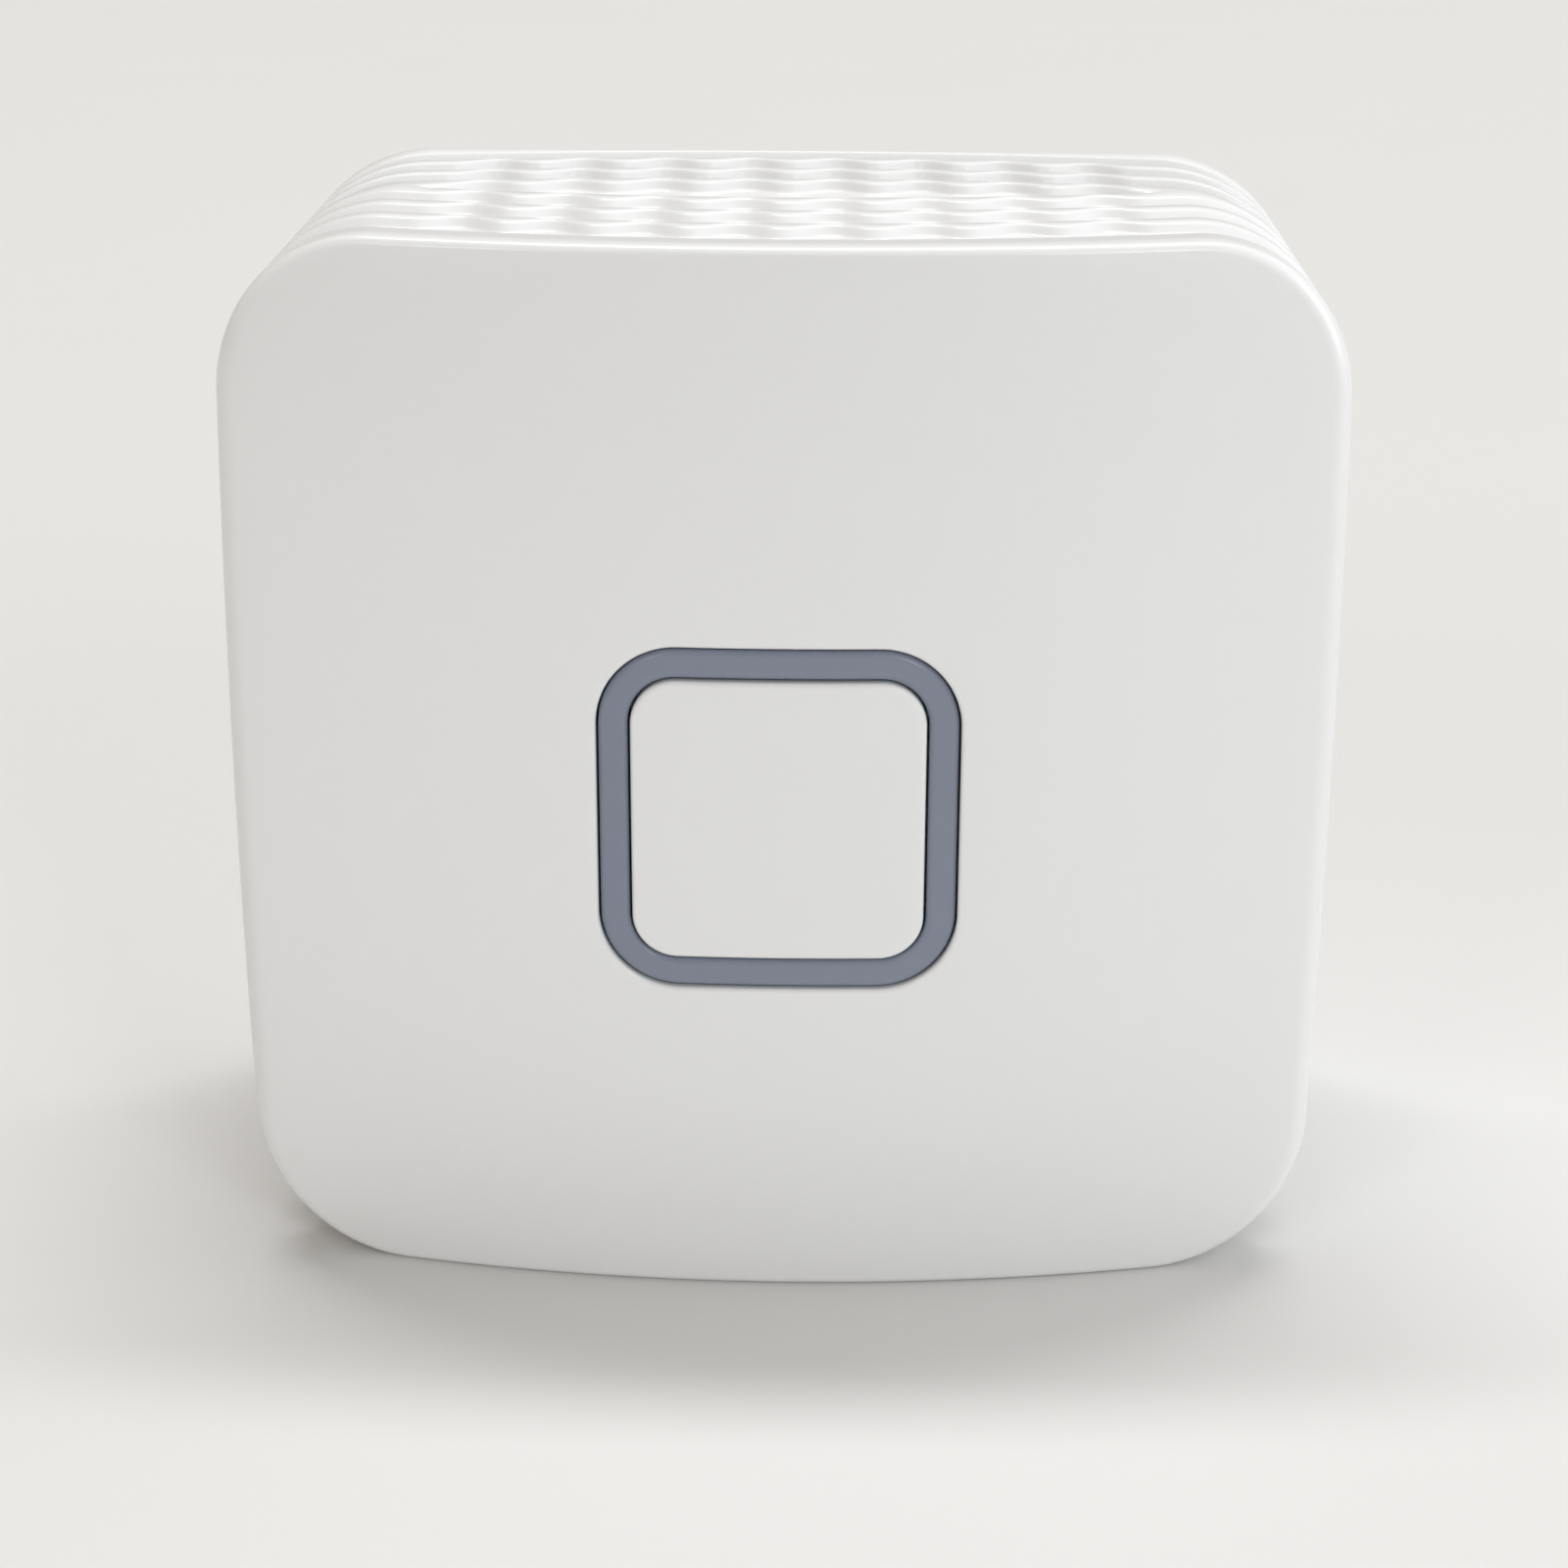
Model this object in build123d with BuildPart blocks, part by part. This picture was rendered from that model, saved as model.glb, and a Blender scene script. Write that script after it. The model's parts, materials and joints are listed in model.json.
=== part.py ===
from build123d import *
import os

# Plug-in smart hub: a crowned two-shell housing with ribbed sides, a light ring round a push button,
# two boards and a two-blade plug. Millimetres. +Z is up, the face looks along -Y, the wall is at y = 0.

os.makedirs("parts", exist_ok=True)

# Housing
width = 61.0
height = 60.1
depth = 35.6
corner_radius = 8.8
wall = 1.8
face_wall = 2.0
back_wall = 1.8
face_fall_x = 4.75  # how far the crowned face has fallen back at its left and right edges
face_fall_z = 2.5  # the same at its top and bottom edges
rim_radius = 1.2
# A rim is rounded in three flat steps: how far along the face and down the side, as shares of its radius
rim_steps = ((0.332, 0.801), (0.254, 0.470), (0.215, 0.215))
back_edge_radius = 1.4

# Ribs round the sides, measured at the middle of the top side
rib_width = 2.0
rib_height = 0.6
ribs_per_shell = 3
lip_end = 5.3  # behind the face
front_rib_start = 8.0  # behind the face
front_rib_pitch = 4.0
front_rib_fall_x = 5.4
front_rib_fall_z = 3.0
back_lip = 1.95  # from the wall
rear_rib_pitch = 3.75
rear_rib_fall = -3.5
recess_reach = 20.0  # the recess between the two sets of ribs ends this far from a side's middle
parting_offset = 0.4  # the shells meet this far behind the middle of the recess
scallop_pitch = 5.0
scallop_width = 3.2
scallop_depth = 1.1
scallop_slope = 48.0
scallops_per_side = 8

# Light ring
ring_size = 19.4
ring_opening = 16.2
ring_corner = 4.3
opening_corner = 2.6
ring_drop = 0.75  # the ring's centre lies this far below the face's centre
ring_sink = 0.15
ring_rim_radius = 0.25  # of the face's edge round the ring
ring_gap = 0.12
ring_bevel = 0.25
ring_flange = 1.6
ring_flange_thickness = 1.0
ring_step_depth = 3.4  # behind the face, where the ring's bore widens for the button's flange
ring_step = 0.8
seat_depth = 3.0  # behind the face, of the flat frame that the ring's flange lies on
seat_width = 2.8
shield_gap = 0.15
led_size = (1.6, 1.2, 0.8)
led_clearance = 0.3

# Button
button_gap = 0.14
button_travel = 0.4
button_plate = 1.6
button_skirt = 1.2
button_edge = 0.2
button_flange = 0.6
button_flange_thickness = 1.0
flange_play = 0.1
post_diameter = 3.0

# Push switch
switch_size = 6.0
switch_height = 3.5
switch_cover_thickness = 0.3
stem_diameter = 3.5
stem_rise = 0.8
stem_flange = 0.45
stem_flange_thickness = 0.9
stem_clearance = 0.05
stem_play = 0.1
dome_thickness = 0.15

# Boards
board_thickness = 1.6
main_board_depth = 9.6  # behind the face
main_board_margin = 2.7  # from the inside of the shell's walls
main_board_corner = 5.0
boss_inset = 4.5  # from the main board's edges
boss_diameter = 5.0
power_board_margin = 5.8
power_board_corner = 2.0
post_inset = 3.5  # from the power board's edges
post_height = 4.6
post_outer_diameter = 4.6

# Board screws
screw_diameter = 1.9
screw_head_diameter = 3.8
screw_head_height = 1.3
screw_length = 6.0
screw_clearance = 0.06
screw_end_gap = 0.3
board_hole_diameter = 2.4

# Main board's parts: middle (x, z), then width, height and how far they stand off the board
shield_can_at = (-7.0, 7.0)
shield_can_size = (24.0, 20.0, 2.4)
can_sheet = 0.2
processor_at = (-12.0, 8.0)
processor_size = (10.0, 10.0, 1.2)
memory_at = (0.0, 9.0)
memory_size = (6.0, 8.0, 1.0)
radio_at = (10.0, -7.0)
radio_size = (6.0, 6.0, 0.9)
crystal_at = (10.0, -14.0)
crystal_size = (3.2, 2.5, 0.8)
antenna_x = (-9.0, 11.0)
antenna_from_edge = 2.0
antenna_length = 12.0
antenna_height = 4.0
antenna_sheet = 0.3
antenna_foot = 2.5
insulator_thickness = 0.4
insulator_overhang = 4.0

# Connector between the boards
connector_at = (-8.0, -15.0)
connector_size = (10.4, 5.0)
connector_pins = 4
pin_pitch = 2.54
pin_size = 0.64
pin_clearance = 0.08
pin_reach = 6.0
socket_height = 8.5
connector_play = 0.2

# Power board's parts: middle (x, z), or how far the middle lies from the board's left or right edge, and z
part_headroom = 2.6  # between the tallest parts and the insulator
transformer_at = (9.0, 5.0)
core_width = 13.0
core_thickness = 6.2
core_leg = 3.6
core_yoke = 2.2
coil_clearance = 0.1
bobbin_wall = 0.6
bobbin_flange = 0.7
coil_rise = 2.4
bulk_capacitors_from_edge = 7.9
bulk_capacitors_z = (9.5, 0.5)
bulk_capacitor_diameter = 8.0
output_capacitor_from_edge = 6.4
output_capacitor_z = -8.0
output_capacitor_diameter = 6.3
output_capacitor_length = 8.0
choke_at = (-4.5, 12.0)
choke_diameter = 6.0
choke_length = 7.0
choke_core_diameter = 4.4
choke_flange = 1.2
fuse_at = (9.0, -16.5)
fuse_diameter = 3.6
fuse_length = 9.5
fuse_cap_length = 1.8
fuse_cap_step = 0.2
rectifier_at = (-5.0, 2.5)
rectifier_size = (4.7, 6.0, 2.4)
controller_at = (-2.0, -6.0)
controller_size = (5.0, 4.0, 1.6)
chip_bevel = 0.3
disc_capacitor_from_edge = 15.4
disc_capacitor_z = -8.5
disc_capacitor_diameter = 7.5
disc_capacitor_thickness = 3.0
disc_capacitor_rise = 0.8
lead_diameter = 0.6
lead_pitch = 5.0

# Plug
blade_spacing = 12.7
blade_thickness = 1.52
blade_width = 6.35
blade_length = 17.5
blade_hole_diameter = 3.2
blade_hole_from_wall = 11.7
blade_tip_bevel = 0.5
blade_fit = 0.02
blade_tab_width = 4.0
carrier_width = 24.0
carrier_height = 13.0
carrier_corner = 2.5
carrier_gap = 0.1
carrier_sink = 0.3
carrier_flange = 1.6
carrier_flange_thickness = 1.5
clip_sheet = 0.4
clip_width = 3.0
clip_from_carrier = 0.5
clip_play = 0.1

# Joint between the shells
tongue_reach = 2.2
tongue_thickness = 1.0
tongue_gap = 0.15
tongue_root = 2.0
tongue_bite = 0.4
hook_length = 7.0
hook_height = 0.3
hook_thickness = 0.9
hook_from_tip = 0.4
hook_from_middle = 12.0
hook_play = 0.12

# Places worked out from the sizes
margin = 5.0  # how far a cutter runs past what it cuts
half_width = width / 2
half_height = height / 2
front = -depth
front_ribs = [front_rib_start + i * front_rib_pitch for i in range(ribs_per_shell)]
rear_ribs = [depth - back_lip - (ribs_per_shell - i) * rear_rib_pitch for i in range(ribs_per_shell)]
front_ribs_end = front_ribs[-1] + rib_width
parting = front + (front_ribs_end + rear_ribs[0]) / 2 + parting_offset
inner_front = front + face_wall
inner_back = -back_wall
seat = front + seat_depth
flange_back = seat + ring_flange_thickness
main_front = front + main_board_depth
main_back = main_front + board_thickness
led_top = main_front - led_size[2]
switch_top = main_front - switch_height
stem_front = switch_top - stem_rise
main_board_width = width - 2 * (wall + main_board_margin)
main_board_height = height - 2 * (wall + main_board_margin)
boss_x = main_board_width / 2 - boss_inset
boss_z = main_board_height / 2 - boss_inset
power_back = inner_back - post_height
power_front = power_back - board_thickness
power_board_width = width - 2 * (wall + power_board_margin)
power_board_height = height - 2 * (wall + power_board_margin)
post_x = power_board_width / 2 - post_inset
post_z = power_board_height / 2 - post_inset
insulator_front = main_back + shield_can_size[2]
insulator_back = insulator_front + insulator_thickness
bulk_capacitors_x = bulk_capacitors_from_edge - power_board_width / 2
output_capacitor_x = power_board_width / 2 - output_capacitor_from_edge
disc_capacitor_at = (power_board_width / 2 - disc_capacitor_from_edge, disc_capacitor_z)
tall_part = power_front - insulator_back - part_headroom
carrier_front = inner_back - carrier_flange_thickness
bosses = [(x, z) for x in (-boss_x, boss_x) for z in (-boss_z, boss_z)]
posts = [(x, z) for x in (-post_x, post_x) for z in (-post_z, post_z)]
post_screws = [posts[0], posts[3]]
ring_centre = (0, -ring_drop)


def facing(y):
    """The plane at y whose sketch has +X to the right and +Z up. It extrudes towards the face."""
    return Plane.XZ.offset(-y)


def outline(inset, mode=Mode.ADD):
    """The housing's rounded square, drawn smaller all round by inset."""
    return RectangleRounded(width - 2 * inset, height - 2 * inset, corner_radius - inset, mode=mode)


def rounded_square(size, corner, grow=0.0, mode=Mode.ADD):
    """A rounded square, grown all round by grow."""
    return RectangleRounded(size + 2 * grow, size + 2 * grow, corner + grow, mode=mode)


def crown_fall(fall, half, place):
    """How far a crown has fallen back at place, when it falls by fall at half its span."""
    return fall * (place / half) ** 2


def crowned_slab(near, far, fall_x, fall_z):
    """Solid between two like crowned surfaces, whose middles lie at y = near and y = far."""
    reach_x = half_width + 2 * margin
    reach_z = half_height + 2 * margin
    side = crown_fall(fall_x, half_width, reach_x)
    end = crown_fall(fall_z, half_height, reach_z)
    poles = [
        [(x * reach_x, near + (side if x else -side) + (end if z else -end), z * reach_z) for z in (-1, 0, 1)]
        for x in (-1, 0, 1)
    ]
    with BuildPart() as slab:
        extrude(Face.make_bezier_surface(poles), amount=far - near, dir=(0, 1, 0))
    return slab.part


def before_face(at):
    """Everything in front of the crowned surface that lies parallel to the face, at a depth behind it."""
    return crowned_slab(front - 2 * margin, front + at, face_fall_x, face_fall_z)


def front_rib_slab(near, far):
    """Crowned slab that follows the front ribs, between two depths at the top side's middle."""
    middle = front - front_rib_fall_z
    return crowned_slab(middle + near, middle + far, front_rib_fall_x, front_rib_fall_z)


def rear_rib_slab(near, far):
    """Crowned slab that follows the rear ribs, between two depths at the top side's middle."""
    middle = front - rear_rib_fall
    return crowned_slab(middle + near, middle + far, rear_rib_fall, rear_rib_fall)


def groove(slab):
    """The part of a slab that lies less than a rib's height inside the housing's sides."""
    with BuildPart() as ring:
        add(slab)
        with BuildSketch(facing(margin)):
            outline(-margin)
            outline(rib_height, mode=Mode.SUBTRACT)
        extrude(amount=depth + 2 * margin, mode=Mode.INTERSECT)
    return ring.part


def recess():
    """The lens-shaped recess between the two sets of ribs, on the flat part of each side."""
    with BuildPart() as band:
        add(front_rib_slab(front_ribs_end, depth))
        add(rear_rib_slab(lip_end, rear_ribs[0]), mode=Mode.INTERSECT)
        with BuildSketch(facing(margin)):
            Rectangle(2 * recess_reach, height + 2 * margin)
            Rectangle(width + 2 * margin, 2 * recess_reach)
            outline(rib_height, mode=Mode.SUBTRACT)
        extrude(amount=depth + 2 * margin, mode=Mode.INTERSECT)
    return band.part


def round_off(part, end, radius):
    """Round the rim of a part's end face in flat steps. The end is 0 at the face and -1 at the wall."""
    for along_face, down_side in rim_steps:
        rim = part.faces().sort_by(Axis.Y)[end]
        chamfer(rim.edges(), along_face * radius, down_side * radius, reference=rim)


def scallops(starts, fall_x, fall_z):
    """Tapered bites out of the ribs' front edges, in line on all ribs, on all four sides."""
    places = [(i - (scallops_per_side - 1) / 2) * scallop_pitch for i in range(scallops_per_side)]
    side_shift = fall_x - fall_z
    level = [
        (x, front + start + crown_fall(fall_x, half_width, abs(x))) for start in starts for x in places
    ]
    upright = [
        (front + start + side_shift + crown_fall(fall_z, half_height, abs(z)), z)
        for start in starts
        for z in places
    ]
    with BuildPart() as bites:
        with BuildSketch(
            Plane.XY.offset(half_height - rib_height), Plane.XY.offset(-half_height - margin)
        ):
            with Locations(*level):
                Trapezoid(scallop_width, scallop_depth, scallop_slope, align=(Align.CENTER, Align.MIN))
        extrude(amount=rib_height + margin)
        with BuildSketch(
            Plane.YZ.offset(half_width - rib_height), Plane.YZ.offset(-half_width - margin)
        ):
            with Locations(*upright):
                Trapezoid(
                    scallop_width, scallop_depth, scallop_slope, rotation=-90, align=(Align.CENTER, Align.MIN)
                )
        extrude(amount=rib_height + margin)
    return bites.part


def hooks(grow):
    """The snap hooks on the tongue, or with grow the pockets that they catch in."""
    tip = parting - tongue_reach + hook_from_tip
    inset = wall - hook_height - grow
    with BuildPart() as beads:
        with BuildSketch(facing(tip + hook_thickness + grow)):
            outline(inset)
            outline(wall + tongue_gap + tongue_thickness / 2, mode=Mode.SUBTRACT)
        extrude(amount=hook_thickness + 2 * grow)
        with BuildSketch(facing(parting)):
            with Locations(
                *[(x, z) for x in (-hook_from_middle, hook_from_middle) for z in (-half_height, half_height)]
            ):
                Rectangle(hook_length + 2 * grow, 4 * wall)
            with Locations(
                *[(x, z) for x in (-half_width, half_width) for z in (-hook_from_middle, hook_from_middle)]
            ):
                Rectangle(4 * wall, hook_length + 2 * grow)
        extrude(amount=tongue_reach + margin, mode=Mode.INTERSECT)
    return beads.part


def box_on(y, at, size, bevel=0.0):
    """A part on a board's side at y: a box, bevelled round its outer face. It stands off towards the face
    if its height is positive."""
    with BuildPart() as block:
        with BuildSketch(facing(y)):
            with Locations(at):
                Rectangle(size[0], size[1])
        extrude(amount=size[2])
        if bevel:
            outer = block.faces().sort_by(Axis.Y)[0 if size[2] > 0 else -1]
            chamfer(outer.edges(), bevel)
    return block.part


def capacitor(at, diameter, length):
    """An electrolytic can that stands on the power board."""
    with BuildPart() as can:
        with BuildSketch(facing(power_front)):
            with Locations(at):
                Circle(diameter / 2)
        extrude(amount=length)
    return can.part


def screws(places, y, way):
    """Pan-head screws, their heads on a board's side at y. They point towards the face where way is 1, and
    towards the wall where it is -1."""
    with BuildPart() as group:
        with BuildSketch(facing(y)):
            with Locations(*places):
                Circle(screw_diameter / 2)
        extrude(amount=way * screw_length)
        with BuildSketch(facing(y)):
            with Locations(*places):
                Circle(screw_head_diameter / 2)
        extrude(amount=-way * screw_head_height)
    return group.part


# Front shell
with BuildPart() as front_hollow:
    with BuildSketch(facing(parting)):
        outline(wall)
    extrude(amount=parting - front)
    add(before_face(face_wall), mode=Mode.SUBTRACT)
    with BuildSketch(facing(main_front)):
        with Locations(*bosses):
            Circle(boss_diameter / 2)
    extrude(amount=main_board_depth, mode=Mode.SUBTRACT)
    with BuildSketch(facing(seat)):
        with Locations(ring_centre):
            rounded_square(ring_size, ring_corner, ring_gap + seat_width)
    extrude(amount=seat_depth, mode=Mode.SUBTRACT)

with BuildPart() as front_cover:
    with BuildSketch(facing(parting)):
        outline(0)
    extrude(amount=parting - front)
    add(before_face(0), mode=Mode.SUBTRACT)
    round_off(front_cover, 0, rim_radius)
    add(front_hollow.part, mode=Mode.SUBTRACT)
    for start, end in zip([lip_end, *[rib + rib_width for rib in front_ribs]], front_ribs):
        add(groove(front_rib_slab(start, end)), mode=Mode.SUBTRACT)
    add(recess(), mode=Mode.SUBTRACT)
    add(scallops(front_ribs, front_rib_fall_x, front_rib_fall_z), mode=Mode.SUBTRACT)
    add(hooks(hook_play), mode=Mode.SUBTRACT)
    with BuildSketch(facing(seat + margin)):
        with Locations(ring_centre):
            rounded_square(ring_size, ring_corner, ring_gap)
    extrude(amount=seat_depth + 2 * margin, mode=Mode.SUBTRACT)
    chamfer(front_cover.faces().sort_by(Axis.Y)[0].inner_wires()[0].edges(), ring_rim_radius)
    with BuildSketch(facing(main_front)):
        with Locations(*bosses):
            Circle(screw_diameter / 2 + screw_clearance)
    extrude(amount=screw_length - board_thickness + screw_end_gap, mode=Mode.SUBTRACT)
front_cover.part.label = "front_cover"
export_step(front_cover.part, "parts/front_cover.step")

# Rear shell
with BuildPart() as rear_hollow:
    with BuildSketch(facing(inner_back)):
        outline(wall)
    extrude(amount=inner_back - parting)
    with BuildSketch(facing(inner_back)):
        with Locations(*posts):
            Circle(post_outer_diameter / 2)
    extrude(amount=post_height, mode=Mode.SUBTRACT)

with BuildPart() as rear_cover:
    with BuildSketch(facing(0)):
        outline(0)
    extrude(amount=-parting)
    round_off(rear_cover, -1, back_edge_radius)
    add(rear_hollow.part, mode=Mode.SUBTRACT)
    for rib in rear_ribs:
        add(groove(rear_rib_slab(rib + rib_width, rib + rear_rib_pitch)), mode=Mode.SUBTRACT)
    add(recess(), mode=Mode.SUBTRACT)
    add(scallops(rear_ribs, rear_rib_fall, rear_rib_fall), mode=Mode.SUBTRACT)
    with BuildSketch(facing(parting + tongue_root)):
        outline(wall - tongue_bite)
        outline(wall + tongue_gap + tongue_thickness, mode=Mode.SUBTRACT)
    extrude(amount=tongue_root)
    with BuildSketch(facing(parting)):
        outline(wall + tongue_gap)
        outline(wall + tongue_gap + tongue_thickness, mode=Mode.SUBTRACT)
    extrude(amount=tongue_reach)
    add(hooks(0))
    with BuildSketch(facing(0)):
        RectangleRounded(
            carrier_width + 2 * carrier_gap, carrier_height + 2 * carrier_gap, carrier_corner + carrier_gap
        )
    extrude(amount=back_wall, mode=Mode.SUBTRACT)
    with BuildSketch(facing(power_back)):
        with Locations(*post_screws):
            Circle(screw_diameter / 2 + screw_clearance)
    extrude(amount=-(screw_length - board_thickness + screw_end_gap), mode=Mode.SUBTRACT)
rear_cover.part.label = "rear_cover"
export_step(rear_cover.part, "parts/rear_cover.step")

# Light ring, a clear grey light guide that drops into the face from behind
with BuildPart() as light_ring:
    with BuildSketch(facing(led_top - led_clearance)):
        with Locations(ring_centre):
            rounded_square(ring_size, ring_corner)
    extrude(amount=led_top - led_clearance - front)
    add(before_face(ring_sink), mode=Mode.SUBTRACT)
    with BuildSketch(facing(flange_back)):
        with Locations(ring_centre):
            rounded_square(ring_size, ring_corner, ring_flange)
    extrude(amount=ring_flange_thickness)
    with BuildSketch(facing(main_front)):
        with Locations(ring_centre):
            rounded_square(ring_opening, opening_corner)
    extrude(amount=main_board_depth + margin, mode=Mode.SUBTRACT)
    with BuildSketch(facing(main_front)):
        with Locations(ring_centre):
            rounded_square(ring_opening, opening_corner, ring_step)
    extrude(amount=main_board_depth - ring_step_depth, mode=Mode.SUBTRACT)
    chamfer(light_ring.faces().sort_by(Axis.Y)[0].edges(), ring_bevel)
light_ring.part.label = "light_ring"
export_step(light_ring.part, "parts/light_ring.step")

# Light shield, the opaque frame that clamps the ring's flange to the face and keeps its light in
with BuildPart() as light_shield:
    with BuildSketch(facing(main_front)):
        with Locations(ring_centre):
            rounded_square(ring_size, ring_corner, ring_flange)
            rounded_square(ring_size, ring_corner, shield_gap, mode=Mode.SUBTRACT)
    extrude(amount=main_front - flange_back)
light_shield.part.label = "light_shield"
export_step(light_shield.part, "parts/light_shield.step")

# Button cap, held behind the ring's step by its flange, with a post that meets the switch's stem
flange_front = front + ring_step_depth + flange_play
skirt_back = flange_front + button_flange_thickness
with BuildPart() as button_cap:
    with BuildSketch(facing(skirt_back)):
        with Locations(ring_centre):
            rounded_square(ring_opening, opening_corner, -button_gap)
    extrude(amount=skirt_back - front)
    add(before_face(0), mode=Mode.SUBTRACT)
    chamfer(button_cap.faces().sort_by(Axis.Y)[0].edges(), button_edge)
    with BuildSketch(facing(skirt_back)):
        with Locations(ring_centre):
            rounded_square(ring_opening, opening_corner, button_flange - button_gap)
    extrude(amount=button_flange_thickness)
    with BuildSketch(facing(skirt_back)):
        with Locations(ring_centre):
            rounded_square(ring_opening, opening_corner, -button_gap - button_skirt)
    extrude(amount=skirt_back - front - button_plate, mode=Mode.SUBTRACT)
    with BuildSketch(facing(stem_front)):
        with Locations(ring_centre):
            Circle(post_diameter / 2)
    extrude(amount=stem_front - front - button_plate)
button_cap.part.label = "button_cap"
export_step(button_cap.part, "parts/button_cap.step")

# Push switch: body, steel cover plate, moving stem, and the snap dome, drawn pressed flat
flange_of_stem = switch_top + switch_cover_thickness + stem_play
stem_back = flange_of_stem + stem_flange_thickness
dome_front = stem_back + button_travel + stem_clearance
switch_bore = stem_diameter / 2 + stem_flange + stem_clearance
with BuildPart() as switch_stem:
    with BuildSketch(facing(stem_back)):
        with Locations(ring_centre):
            Circle(stem_diameter / 2)
    extrude(amount=stem_back - stem_front)
    with BuildSketch(facing(stem_back)):
        with Locations(ring_centre):
            Circle(stem_diameter / 2 + stem_flange)
    extrude(amount=stem_flange_thickness)
switch_stem.part.label = "switch_stem"
export_step(switch_stem.part, "parts/switch_stem.step")

with BuildPart() as switch_body:
    with BuildSketch(facing(main_front)):
        with Locations(ring_centre):
            Rectangle(switch_size, switch_size)
    extrude(amount=switch_height - switch_cover_thickness)
    with BuildSketch(facing(dome_front + dome_thickness)):
        with Locations(ring_centre):
            Circle(switch_bore)
    extrude(amount=switch_height, mode=Mode.SUBTRACT)
switch_body.part.label = "switch_body"
export_step(switch_body.part, "parts/switch_body.step")

with BuildPart() as switch_cover:
    with BuildSketch(facing(switch_top + switch_cover_thickness)):
        with Locations(ring_centre):
            Rectangle(switch_size, switch_size)
            Circle(stem_diameter / 2 + stem_clearance, mode=Mode.SUBTRACT)
    extrude(amount=switch_cover_thickness)
switch_cover.part.label = "switch_cover"
export_step(switch_cover.part, "parts/switch_cover.step")

with BuildPart() as switch_dome:
    with BuildSketch(facing(dome_front + dome_thickness)):
        with Locations(ring_centre):
            Circle(switch_bore - stem_clearance)
    extrude(amount=dome_thickness)
switch_dome.part.label = "switch_dome"
export_step(switch_dome.part, "parts/switch_dome.step")

# Main board and what is soldered to it
with BuildPart() as main_board:
    with BuildSketch(facing(main_back)):
        RectangleRounded(main_board_width, main_board_height, main_board_corner)
        with Locations(*bosses):
            Circle(board_hole_diameter / 2, mode=Mode.SUBTRACT)
    extrude(amount=board_thickness)
main_board.part.label = "main_board"
export_step(main_board.part, "parts/main_board.step")

led_radius = ring_size / 2 - led_size[1] / 2
with BuildPart() as status_leds:
    with BuildSketch(facing(main_front)):
        with Locations((0, led_radius - ring_drop), (0, -led_radius - ring_drop)):
            Rectangle(led_size[0], led_size[1])
        with Locations((led_radius, -ring_drop), (-led_radius, -ring_drop)):
            Rectangle(led_size[1], led_size[0])
    extrude(amount=led_size[2])
status_leds.part.label = "status_leds"
export_step(status_leds.part, "parts/status_leds.step")

with BuildPart() as shield_can:
    with BuildSketch(facing(main_back)):
        with Locations(shield_can_at):
            Rectangle(shield_can_size[0], shield_can_size[1])
    extrude(amount=-shield_can_size[2])
    with BuildSketch(facing(main_back)):
        with Locations(shield_can_at):
            Rectangle(shield_can_size[0] - 2 * can_sheet, shield_can_size[1] - 2 * can_sheet)
    extrude(amount=can_sheet - shield_can_size[2], mode=Mode.SUBTRACT)
shield_can.part.label = "shield_can"
export_step(shield_can.part, "parts/shield_can.step")

chips = {
    "processor": (processor_at, processor_size),
    "memory_chip": (memory_at, memory_size),
    "radio_chip": (radio_at, radio_size),
    "crystal": (crystal_at, crystal_size),
}
for name, (at, size) in chips.items():
    chip = box_on(main_back, at, (size[0], size[1], -size[2]), chip_bevel / 2)
    chip.label = name
    export_step(chip, f"parts/{name}.step")

with BuildPart() as antennas:
    with BuildSketch(facing(main_back)):
        with Locations(*[(x, main_board_height / 2 - antenna_from_edge) for x in antenna_x]):
            Rectangle(antenna_length, antenna_sheet)
    extrude(amount=-antenna_height)
    with BuildSketch(facing(main_back + antenna_sheet)):
        with Locations(
            *[
                (x - (antenna_length - antenna_foot) / 2, main_board_height / 2 - antenna_from_edge - antenna_foot / 2)
                for x in antenna_x
            ]
        ):
            Rectangle(antenna_foot, antenna_foot)
    extrude(amount=antenna_sheet)
antennas.part.label = "antennas"
export_step(antennas.part, "parts/antennas.step")

insulator = box_on(
    insulator_front,
    shield_can_at,
    (
        shield_can_size[0] + 2 * insulator_overhang,
        shield_can_size[1] + insulator_overhang,
        -insulator_thickness,
    ),
)
insulator.label = "insulator_sheet"
export_step(insulator, "parts/insulator_sheet.step")

main_screws = screws(bosses, main_back, 1)
main_screws.label = "main_board_screws"
export_step(main_screws, "parts/main_board_screws.step")

# Connector that joins the boards
socket_back = main_back + socket_height
pin_places = [
    (connector_at[0] + (i - (connector_pins - 1) / 2) * pin_pitch, connector_at[1])
    for i in range(connector_pins)
]
with BuildPart() as board_socket:
    with BuildSketch(facing(main_back)):
        with Locations(connector_at):
            Rectangle(connector_size[0], connector_size[1])
    extrude(amount=-socket_height)
    with BuildSketch(facing(socket_back)):
        with Locations(*pin_places):
            Rectangle(pin_size + 2 * pin_clearance, pin_size + 2 * pin_clearance)
    extrude(amount=pin_reach + connector_play, mode=Mode.SUBTRACT)
board_socket.part.label = "board_socket"
export_step(board_socket.part, "parts/board_socket.step")

header_front = socket_back + connector_play
with BuildPart() as board_header:
    with BuildSketch(facing(power_front)):
        with Locations(connector_at):
            Rectangle(connector_size[0], connector_size[1])
    extrude(amount=power_front - header_front)
board_header.part.label = "board_header"
export_step(board_header.part, "parts/board_header.step")

with BuildPart() as header_pins:
    with BuildSketch(facing(header_front)):
        with Locations(*pin_places):
            Rectangle(pin_size, pin_size)
    extrude(amount=pin_reach)
header_pins.part.label = "header_pins"
export_step(header_pins.part, "parts/header_pins.step")

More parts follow.
